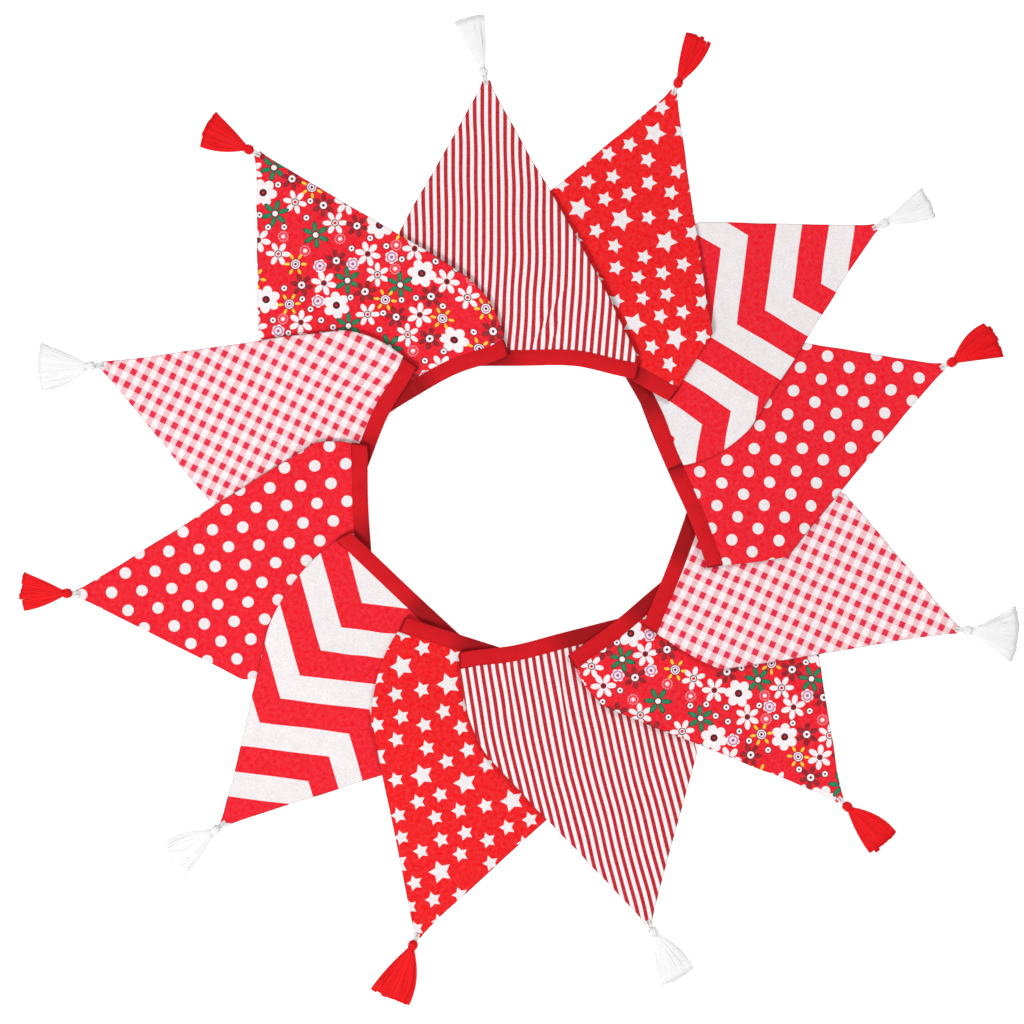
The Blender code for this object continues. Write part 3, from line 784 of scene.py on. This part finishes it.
def make_tassel(pennant, row, rng, yarns):
    """Lays one tassel at its pennant's tip: knot, binding and skirt, and white stem threads."""
    colour = TASSEL_COLOURS[pennant.index % len(TASSEL_COLOURS)]
    aim = math.radians(row["aim"])
    axes = np.array(((math.cos(aim), math.sin(aim), 0), (-math.sin(aim), math.cos(aim), 0),
                     (0, 0, 1)))
    start = np.append(pennant.place(0, pennant.drop - BLUNT_TIP), 0)

    def laid(tubes):
        return [(start + points @ axes, radii, shade) for points, radii, shade in tubes]

    floss = knot_tubes(rng) + [coil_tube()] + skirt_tubes(row, RAGGED[colour], rng)
    skirt = join_tubes("tassel_%s_floss" % pennant.name, laid(floss), yarns[colour], 4)
    threads = join_tubes("tassel_%s_stem" % pennant.name, laid(stem_tubes()), yarns["white"], 6)
    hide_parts("tassel_" + pennant.name)


# ---------- shader arithmetic

class Field:
    """A number that varies over a surface.  Arithmetic on fields makes shader nodes."""

    def __init__(self, tree, socket):
        self.tree = tree
        self.socket = socket

    def __add__(self, other):
        return calc("ADD", self, other)

    def __sub__(self, other):
        return calc("SUBTRACT", self, other)

    def __rsub__(self, other):
        return calc("SUBTRACT", other, self)

    def __mul__(self, other):
        return calc("MULTIPLY", self, other)

    def __truediv__(self, other):
        return calc("DIVIDE", self, other)

    __radd__ = __add__
    __rmul__ = __mul__


def feed(socket, value):
    """Gives a node's input a field or a plain value."""
    if isinstance(value, Field):
        value.tree.links.new(value.socket, socket)
    elif socket.type == "RGBA":
        socket.default_value = (*value, 1)
    else:
        socket.default_value = value


def made(kind, *values, **settings):
    """What a new shader node gives; its settings come first, then its inputs are fed in order."""
    tree = next(value.tree for value in values if isinstance(value, Field))
    node = tree.nodes.new("ShaderNode" + kind)
    for name, setting in settings.items():
        setattr(node, name, setting)
    for socket, value in zip([socket for socket in node.inputs if socket.enabled], values):
        feed(socket, value)
    return Field(tree, next(output for output in node.outputs if output.enabled))


def calc(operation, *values, **settings):
    return made("Math", *values, operation=operation, **settings)


def vector_calc(operation, *values):
    return made("VectorMath", *values, operation=operation)


def combined(x, y):
    """A vector of two fields."""
    return made("CombineXYZ", x, y)


def parts_of(vector):
    """The first two numbers of a vector."""
    x = made("SeparateXYZ", vector)
    return x, Field(x.tree, x.socket.node.outputs[1])


def noise(vector, scale, detail=2.0):
    """Smooth noise from 0 to 1."""
    return made("TexNoise", vector, scale, detail)


def mixed(share, below, above, kind="RGBA", blend="MIX"):
    """Two colours or vectors mixed by a share; each is plain or a field."""
    return made("Mix", share, below, above, data_type=kind, blend_type=blend)


def shaded(colour, share):
    """A colour multiplied by a field."""
    return mixed(1.0, colour, share, blend="MULTIPLY")


def inside(distance, soft=0.12):
    """1 where a distance in mm is below nought, with a soft edge."""
    return calc("SUBTRACT", 0.5, distance / soft, use_clamp=True)


def length_of(x, y):
    return calc("SQRT", x * x + y * y)


# ---------- colours, linear

RED = (0.70, 0.003, 0.015)
STAR_RED = (0.70, 0.001, 0.004)
STRIPE_RED = (0.42, 0.005, 0.014)
TAPE_RED = (0.52, 0.005, 0.010)
FLOSS_RED = (0.78, 0.004, 0.008)
CRIMSON = (0.66, 0.014, 0.050)
WHITE = (0.71, 0.665, 0.675)
BRIGHT_WHITE = (0.78, 0.715, 0.73)
FLOSS_WHITE = (0.725, 0.725, 0.725)
PLAIN_WHITE = (1.0, 1.0, 1.0, 1.0)          # of the floor and the light around
MAROON = (0.075, 0.002, 0.008)
SHADOW_RED = (0.26, 0.006, 0.012)
GREEN = (0.008, 0.20, 0.075)
DARK_GREEN = (0.012, 0.045, 0.030)
YELLOW = (0.86, 0.55, 0.030)
PINK = (0.72, 0.40, 0.50)
ROSE = (0.72, 0.20, 0.24)
PURPLE = (0.33, 0.09, 0.26)


# ---------- prints, in mm

STRIPE_PITCH, STRIPE_HALF, STRIPE_SOFT = 5.0, 1.26, 0.3
STRIPE_SWAY, STRIPE_SWAY_SCALE = 1.2, 0.02
STRIPE_BEND, STRIPE_BEND_FROM = 0.00062, 100.0      # how the gathers pull the lines near the base


def stripes_print(u, v):
    """Thin red lines along the pennant on white."""
    sway = noise(combined(u, v), STRIPE_SWAY_SCALE, 1.0) * STRIPE_SWAY
    pulled = calc("MAXIMUM", STRIPE_BEND_FROM - v, 0.0)
    line = calc("PINGPONG", u + sway + pulled * pulled * STRIPE_BEND, STRIPE_PITCH / 2)
    return mixed(inside(line - STRIPE_HALF, STRIPE_SOFT), BRIGHT_WHITE, STRIPE_RED)


PUSHES = 300
PUSH = 0.25                     # of what two places overlap, by which each gives way at a time
LEAST_APART = 0.01
ALIKE_APART = 1.9               # how much further apart flowers of one kind start


def scatter(radii, kinds, tile, seed):
    """Whole places in a tile that repeats: drawn at random, then pushed apart where they crowd."""
    rng = random.Random(seed)
    places = [[rng.uniform(0, tile), rng.uniform(0, tile)] for _ in radii]
    for turn in range(PUSHES):
        for a, b in itertools.combinations(range(len(radii)), 2):
            x, y = ((places[a][k] - places[b][k] + tile / 2) % tile - tile / 2 for k in (0, 1))
            far = max(math.hypot(x, y), LEAST_APART)
            alike = kinds[a] == kinds[b] and turn < PUSHES / 2
            apart = (radii[a] + radii[b]) * (ALIKE_APART if alike else 1)
            push = max(apart - far, 0) / far * PUSH
            for place, way in ((places[a], push), (places[b], -push)):
                place[0] += x * way
                place[1] += y * way
    return [(round(x % tile), round(y % tile)) for x, y in places]


def nearest(point, places, tile):
    """The way to a point from the nearest of the places, and a number that each place has."""
    best = least = None
    half = tile / 2
    for x, y in places:
        away = vector_calc("SUBTRACT", point, (x, y, 0))
        away = vector_calc("WRAP", away, (half, half, 1), (-half, -half, -1))
        far = vector_calc("LENGTH", away)
        if best is None:
            best, least = away, far
        else:
            best = mixed(calc("LESS_THAN", far, least), best, away, "VECTOR")
            least = calc("MINIMUM", far, least)
    centre = vector_calc("SUBTRACT", point, best)
    centre = vector_calc("FLOOR", vector_calc("ADD", centre, (0.5, 0.5, 0.5)))
    return *parts_of(best), made("TexWhiteNoise", centre)


STAR_TILE, STAR_SEED = 62, 5
STAR_ROOM = 2.3                 # radius that a star keeps free about its points
STAR_INNER = 0.53               # radius of the inner corners, as a share of the points' radius
STAR_KINDS = ((7.9, 2), (5.5, 11))          # radius and count in a tile


def star_distance(x, y, size):
    """Distance in mm outside a five-pointed star with a point along +y."""
    angle = calc("PINGPONG", calc("ARCTAN2", x, y), math.pi / 5)
    reach = length_of(x, y)
    tip_y = STAR_INNER * math.sin(math.pi / 5)
    tip_x = 1 - STAR_INNER * math.cos(math.pi / 5)
    scale = 1 / math.hypot(tip_x, tip_y)
    across = calc("COSINE", angle) * (tip_y * scale) + calc("SINE", angle) * (tip_x * scale)
    return reach * across - tip_y * scale * size


def stars_print(u, v):
    """White stars of two sizes, all with a point towards the pennant's tip."""
    sizes = [size for size, count in STAR_KINDS for _ in range(count)]
    places = scatter([size + STAR_ROOM for size in sizes], range(len(sizes)), STAR_TILE, STAR_SEED)
    point = combined(u, v)
    colour = STAR_RED
    for size, _ in STAR_KINDS:
        chosen = [place for place, its_size in zip(places, sizes) if its_size == size]
        x, y, _ = nearest(point, chosen, STAR_TILE)
        colour = mixed(inside(star_distance(x, y, size)), colour, WHITE)
    return colour


ZIGZAG_HALF, ZIGZAG_SLOPE = 50.0, math.radians(33.6)
BAND_PITCH, BAND_RED = 41.6, 21.2


def chevron_print(u, v):
    """Wide red and white zigzags along the base."""
    zigzag = calc("PINGPONG", u, ZIGZAG_HALF) * math.tan(ZIGZAG_SLOPE)
    band = calc("PINGPONG", v + zigzag, BAND_PITCH / 2) - BAND_RED / 2
    return mixed(inside(band), WHITE, RED)


DOT_ALONG, DOT_ASIDE, DOT_RADIUS = 20.1, 24.9, 3.8


def dots_print(u, v):
    """White dots in staggered rows."""
    far = []
    for shift in (0.0, 0.5):
        x = calc("WRAP", u + shift * DOT_ASIDE, DOT_ASIDE / 2, -DOT_ASIDE / 2)
        y = calc("WRAP", v + shift * DOT_ALONG, DOT_ALONG / 2, -DOT_ALONG / 2)
        far.append(length_of(x, y))
    return mixed(inside(calc("MINIMUM", *far) - DOT_RADIUS), RED, WHITE)


CHECK_ASIDE, CHECK_ALONG, CHECK_SOFT = 9.65, 8.15, 0.35
BAND_ASIDE, BAND_ALONG = 4.4, 4.0
CHECK_THREAD, THREAD_SOFT, THREAD_CONTRAST = 0.62, 0.2, 0.3
ONE_BAND_U, ONE_BAND_V, BOTH_BANDS = 0.32, 0.40, 0.28       # share of crimson; both adds to them


def gingham_print(u, v):
    """Red and white bands that cross: threads of both show where one band is red."""
    band_u = inside(calc("PINGPONG", u, CHECK_ASIDE / 2) - BAND_ASIDE / 2, CHECK_SOFT)
    band_v = inside(calc("PINGPONG", v, CHECK_ALONG / 2) - BAND_ALONG / 2, CHECK_SOFT)
    over = inside(calc("PINGPONG", u + v, CHECK_THREAD) - CHECK_THREAD / 2, THREAD_SOFT) - 0.5
    over = over * THREAD_CONTRAST
    share = band_u * (over + ONE_BAND_U) + band_v * (ONE_BAND_V - over)
    return mixed(share + band_u * band_v * BOTH_BANDS, BRIGHT_WHITE, CRIMSON)


FLOWER_TILE, FLOWER_SEED = 90, 4
LEAF_RIM = 0.45                 # dark line round the green petals
# Flowers, from the ground up.  count: how many in a tile; room: radius that it keeps free; petals;
# reach, long, wide: the petals' ends and half sizes; discs: radius and colour, widest first
FLOWER_COLUMNS = ("name", "count", "room", "petals", "reach", "long", "wide", "colour", "discs")
FLOWERS = (
    ("blossom", 3, 8.8, 6, 9.2, 3.4, 3.1, BRIGHT_WHITE,
     ((4.6, BRIGHT_WHITE), (2.5, MAROON), (0.7, RED))),
    ("daisy", 5, 7.9, 6, 8.4, 3.2, 1.9, BRIGHT_WHITE,
     ((2.6, BRIGHT_WHITE), (2.0, SHADOW_RED), (0.9, MAROON))),
    ("aster", 4, 7.4, 6, 8.0, 2.9, 1.7, BRIGHT_WHITE,
     ((2.9, BRIGHT_WHITE), (2.5, MAROON), (1.8, BRIGHT_WHITE), (1.1, RED))),
    ("leafy", 4, 7.6, 6, 8.4, 2.9, 1.3, GREEN, ((2.3, MAROON), (1.8, BRIGHT_WHITE))),
    ("shade", 6, 7.0, 6, 7.8, 2.8, 1.8, SHADOW_RED,
     ((2.9, MAROON), (2.4, BRIGHT_WHITE), (0.9, MAROON))),
    ("sun", 4, 6.8, 6, 7.6, 1.9, 0.9, YELLOW,
     ((3.6, MAROON), (3.1, BRIGHT_WHITE), (2.4, PURPLE), (1.7, BRIGHT_WHITE), (0.9, MAROON))),
    ("rose", 4, 4.2, 6, 4.4, 1.6, 1.7, BRIGHT_WHITE,
     ((3.3, PURPLE), (2.7, PINK), (1.9, BRIGHT_WHITE), (1.1, PURPLE))),
    ("rings", 5, 4.0, 12, 3.9, 0.5, 0.4, ROSE,
     ((3.3, ROSE), (2.8, RED), (1.9, ROSE), (1.1, BRIGHT_WHITE))),
    ("seed", 18, 2.6, 12, 2.2, 0.9, 0.6, MAROON,
     ((2.4, MAROON), (1.9, BRIGHT_WHITE), (0.7, MAROON))),
)


def petals(x, y, turn, row):
    """Distance in mm outside a ring of oval petals."""
    angle = calc("PINGPONG", calc("ARCTAN2", x, y) + turn, math.pi / row["petals"])
    far = length_of(x, y)
    a = (far * calc("COSINE", angle) - (row["reach"] - row["long"])) / row["long"]
    b = far * calc("SINE", angle) / row["wide"]
    return (length_of(a, b) - 1) * row["wide"]


def floral_print(u, v):
    """Small garden flowers on red, in a layout of their own."""
    point = combined(u, v)
    rows = named_rows(FLOWER_COLUMNS, FLOWERS)
    kinds = [row for row in rows for _ in range(row["count"])]
    places = scatter([row["room"] for row in kinds], [row["name"] for row in kinds],
                     FLOWER_TILE, FLOWER_SEED)
    colour = RED
    for row in rows:
        chosen = [place for place, kind in zip(places, kinds) if kind is row]
        x, y, number = nearest(point, chosen, FLOWER_TILE)
        edge = petals(x, y, number * math.tau, row)
        if row["name"] == "leafy":
            colour = mixed(inside(edge - LEAF_RIM), colour, DARK_GREEN)
        colour = mixed(inside(edge), colour, row["colour"])
        far = length_of(x, y)
        for radius, disc in row["discs"]:
            colour = mixed(inside(far - radius), colour, disc)
    return colour


PRINTS = {"stripes": stripes_print, "stars": stars_print, "chevron": chevron_print,
          "dots": dots_print, "gingham": gingham_print, "floral": floral_print}


# ---------- materials.  A scale is that of the noise, for each mm; a shade is how much of the
# colour it takes or gives; a height is in mm

def new_material(name, roughness, gloss, sheen=0.0, tint=(1.0, 1.0, 1.0)):
    """A material with its plain values set on the shader itself."""
    material = bpy.data.materials.new(name)
    material.use_nodes = True
    shader = material.node_tree.nodes["Principled BSDF"]
    for socket, value in (("Roughness", roughness), ("Specular IOR Level", gloss),
                          ("Sheen Weight", sheen), ("Sheen Roughness", 0.45),
                          ("Sheen Tint", (*tint, 1))):
        shader.inputs[socket].default_value = value
    return material, material.node_tree, shader


def read_map(tree, name):
    """The two numbers of a map."""
    node = tree.nodes.new("ShaderNodeUVMap")
    node.uv_map = name
    return parts_of(Field(tree, node.outputs[0]))


def map_in_mm(tree, name):
    return tuple(part * (1 / MM) for part in read_map(tree, name))


def add_bump(tree, shader, height, distance):
    node = tree.nodes.new("ShaderNodeBump")
    node.inputs["Strength"].default_value = 1.0
    node.inputs["Distance"].default_value = distance
    feed(node.inputs["Height"], height)
    tree.links.new(node.outputs[0], shader.inputs["Normal"])


def weave(u, v, pitch):
    """Height of a plain weave, from -1 to 1: warp and weft pass over each other by turns."""
    wave = math.pi / pitch
    return calc("COSINE", u * wave) * calc("COSINE", v * wave)


WEAVE_PITCH, WEAVE_SHADE, WEAVE_HEIGHT = 0.38, 0.04, 0.028
STRAY, STRAY_SCALE = 0.28, 1.6              # how far the print's edges stray, mm
ELSEWHERE = (31.0, 7.0, 0.0)                # where the second stray is read
THREAD_SLOW, THREAD_FAST = 0.25, 3.0        # scales along and across the uneven threads
THREAD_SHADE, THREAD_HEIGHT = 0.16, 0.02
MOTTLE_SCALE, MOTTLE_SHADE = 0.12, 0.16
SLUB_SCALE, SLUB_SHADE = 0.7, 0.34
SHADE_MIDDLE, SHADE_MOST = 0.96, 1.1
FUZZ, FUZZ_SCALE, FUZZ_FROM = 0.08, 0.35, 0.3       # white fuzz, where its noise is over a level
SEAM_LINE, SEAM_SOFT, SEAM_AND_PAINTED_EDGE_SHADE = 0.6, 0.5, 0.35   # darker line along the sewn edge: partly the seam, partly painted shade where the rounded edge turns from the light
ALLOWANCE, ALLOWANCE_SOFT, ALLOWANCE_HEIGHT = 6.0, 1.6, 0.09
CREASE_WAYS = ((0.5, 0.35), (-0.1, 0.12))   # what u and v add to the faint creases' two ways
CREASE_SCALE, CREASE_HEIGHT = 0.16, 0.5


def cotton_material(name):
    """Printed cotton: the print, thread by thread unevenness, a darker line at the sewn edge that is
    partly painted shade, faint creases and the weave.
    """
    material, tree, shader = new_material("cotton_" + name, 0.85, 0.12, 0.06, (1.0, 0.85, 0.85))
    u, v = map_in_mm(tree, "Cloth")
    seam, _ = map_in_mm(tree, "Seam")
    point = combined(u, v)
    strays = ((noise(place, STRAY_SCALE, 1.0) - 0.5) * STRAY
              for place in (point, vector_calc("ADD", point, ELSEWHERE)))
    colour = PRINTS[name](*(part + stray for part, stray in zip((u, v), strays)))
    threads = weave(u, v, WEAVE_PITCH)
    uneven = (noise(combined(u * THREAD_SLOW, v * THREAD_FAST), 1.0, 1.0)
              + noise(combined(u * THREAD_FAST, v * THREAD_SLOW), 1.0, 1.0))
    shade = SHADE_MIDDLE + threads * WEAVE_SHADE + (uneven - 1) * THREAD_SHADE
    shade = shade + (noise(point, MOTTLE_SCALE, 3.0) - 0.5) * MOTTLE_SHADE
    shade = shade + (noise(point, SLUB_SCALE) - 0.5) * SLUB_SHADE
    # A darker line along the sewn edge: partly the seam, partly painted shade of the rounded edge
    shade = shade * (1 - inside(seam - SEAM_LINE, SEAM_SOFT) * SEAM_AND_PAINTED_EDGE_SHADE)
    fuzz = calc("MAXIMUM", (noise(point, FUZZ_SCALE, 3.0) - FUZZ_FROM) * FUZZ, 0.0)
    colour = mixed(fuzz, shaded(colour, calc("MINIMUM", shade, SHADE_MOST)), WHITE)
    feed(shader.inputs["Base Color"], colour)
    ways = (u * along + v * across for along, across in CREASE_WAYS)
    crease = noise(combined(*ways), CREASE_SCALE, 3.0)
    allowance = inside(seam - ALLOWANCE, ALLOWANCE_SOFT)
    height = (threads * WEAVE_HEIGHT + uneven * THREAD_HEIGHT + crease * CREASE_HEIGHT
              + allowance * ALLOWANCE_HEIGHT)
    add_bump(tree, shader, height, 1 * MM)
    return material


PAINTED_UNDER_SHADOW = 0.55              # painted shadow: how dark the tape is painted where another length of it lies on top
BIAS = 0.7071                   # cosine of the bias's 45 degrees
BIAS_PITCH, BIAS_SHADE, BIAS_HEIGHT = 0.4, 0.04, 0.03
PUCKER_ALONG, PUCKER_ACROSS, PUCKER_HEIGHT = 0.22, 0.16, 0.45
TAPE_MOTTLE_SCALE, TAPE_MOTTLE_SHADE, TAPE_MIDDLE = 0.11, 0.22, 0.97


def tape_material():
    """Plain dyed cotton, cut on the bias, so that its weave runs slantwise, with a painted shadow where
    another length lies on top.
    """
    material, tree, shader = new_material("tape_cotton", 0.75, 0.12)
    along, across = map_in_mm(tree, "Cloth")
    # under: the painted shadow's share, read from the tape's second map
    under, _ = map_in_mm(tree, "Under")
    threads = weave((along + across) * BIAS, (along - across) * BIAS, BIAS_PITCH)
    pucker = noise(combined(along * PUCKER_ALONG, across * PUCKER_ACROSS), 1.0)
    mottle = noise(combined(along, across), TAPE_MOTTLE_SCALE, 3.0)
    shade = TAPE_MIDDLE + threads * BIAS_SHADE + (mottle - 0.5) * TAPE_MOTTLE_SHADE
    # the colour is painted darker by that share, as a painted shadow
    feed(shader.inputs["Base Color"], shaded(TAPE_RED, shade * (1 - under * (1 - PAINTED_UNDER_SHADOW))))
    add_bump(tree, shader, threads * BIAS_HEIGHT + pucker * PUCKER_HEIGHT, 1 * MM)
    return material


TWIST_ALONG, TWIST_SHIFT = 160.0, 40.0      # of a strand's twist, in radians, and between strands
TWIST_SHADE, TWIST_HEIGHT = 0.03, 0.05 * MM
STRAND_MIDDLE = 1.05


def floss_material(name, base, sheen, uneven):
    """Stranded cotton with a soft gloss; every strand has a shade of its own."""
    material, tree, shader = new_material("floss_" + name, 0.55, 0.15, sheen)
    number, along = read_map(tree, "Floss")
    twist = calc("SINE", along * TWIST_ALONG + number * TWIST_SHIFT)
    shade = STRAND_MIDDLE - number * uneven + twist * TWIST_SHADE
    feed(shader.inputs["Base Color"], shaded(base, shade))
    add_bump(tree, shader, twist, TWIST_HEIGHT)
    return material


# ---------- floor, light and camera

PHOTO_PIXELS = 1024
PIXEL = 2 / 3 * MM              # what one pixel of the photograph measures
RING_X, RING_Y = 524, 508       # the ring's middle there, in pixels from the top left
VIEW_MIDDLE = np.array((PHOTO_PIXELS / 2 - RING_X, RING_Y - PHOTO_PIXELS / 2)) * PIXEL + SLIDE
VIEW_WIDTH = PHOTO_PIXELS * PIXEL
CAMERA_HEIGHT = 2.4
CAMERA_REACH = 20
SENSOR = 36.0
FLOOR_HALF = 9.0
FLOOR_BELOW = 0.02 * MM
AMBIENT = 0.48
FLOOR_GLOW = 0.5                # lifts the floor to plain white, as in the photograph
SOFTBOX_COLUMNS = ("name", "place", "size", "watts")
SOFTBOXES = (
    ("softbox_key", (-1.9, -1.9, 2.7), 1.3, 120.0),
    ("softbox_fill", (1.6, 1.9, 2.9), 1.3, 54.0),
)


def make_floor():
    bm = bmesh.new()
    bmesh.ops.create_grid(bm, x_segments=1, y_segments=1, size=FLOOR_HALF)
    mesh = bpy.data.meshes.new("floor")
    bm.to_mesh(mesh)
    bm.free()
    floor = add_object("floor", mesh)
    floor.location.z = -FLOOR_BELOW
    material, _, shader = new_material("floor", 0.9, 0.0)
    shader.inputs["Base Color"].default_value = PLAIN_WHITE
    shader.inputs["Emission Color"].default_value = PLAIN_WHITE
    shader.inputs["Emission Strength"].default_value = FLOOR_GLOW
    mesh.materials.append(material)


def make_lights():
    """An even light from all around, and two softboxes that face the ring."""
    world = bpy.data.worlds.new("studio")
    world.use_nodes = True
    background = world.node_tree.nodes["Background"]
    background.inputs["Color"].default_value = PLAIN_WHITE
    background.inputs["Strength"].default_value = AMBIENT
    bpy.context.scene.world = world
    for row in named_rows(SOFTBOX_COLUMNS, SOFTBOXES):
        light = bpy.data.lights.new(row["name"], "AREA")
        light.shape = "SQUARE"
        light.size = row["size"]
        light.energy = row["watts"]
        lamp = add_object(row["name"], light)
        lamp.location = row["place"]
        lamp.rotation_euler = (-lamp.location).to_track_quat("-Z", "Y").to_euler()


def make_camera():
    """Straight above, with the photograph's frame."""
    camera = bpy.data.cameras.new("camera")
    camera.sensor_width = SENSOR
    camera.lens = SENSOR * CAMERA_HEIGHT / VIEW_WIDTH
    camera.clip_end = CAMERA_REACH
    eye = add_object("camera", camera)
    eye.location = (*VIEW_MIDDLE, CAMERA_HEIGHT)
    bpy.context.scene.camera = eye
    bpy.context.scene.view_settings.view_transform = "Standard"


def main():
    make_floor()
    make_lights()
    make_camera()
    cottons = {name: cotton_material(name) for name in PRINTS}
    yarns = {"red": floss_material("red", FLOSS_RED, 0.0, 0.36),
             "white": floss_material("white", FLOSS_WHITE, 0.25, 0.05)}
    pennants = [Pennant(i, row) for i, row in enumerate(named_rows(PENNANT_COLUMNS, PENNANTS))]
    rng = random.Random(STRAND_SEED)
    for pennant, cut, row in zip(pennants, named_rows(CUT_COLUMNS, CUTS),
                                 named_rows(TASSEL_COLUMNS, TASSELS)):
        make_pennant(pennant, cut, cottons[pennant.print])
        make_tassel(pennant, row, rng, yarns)
    make_tape(pennants, tape_material(), yarns["red"])


main()
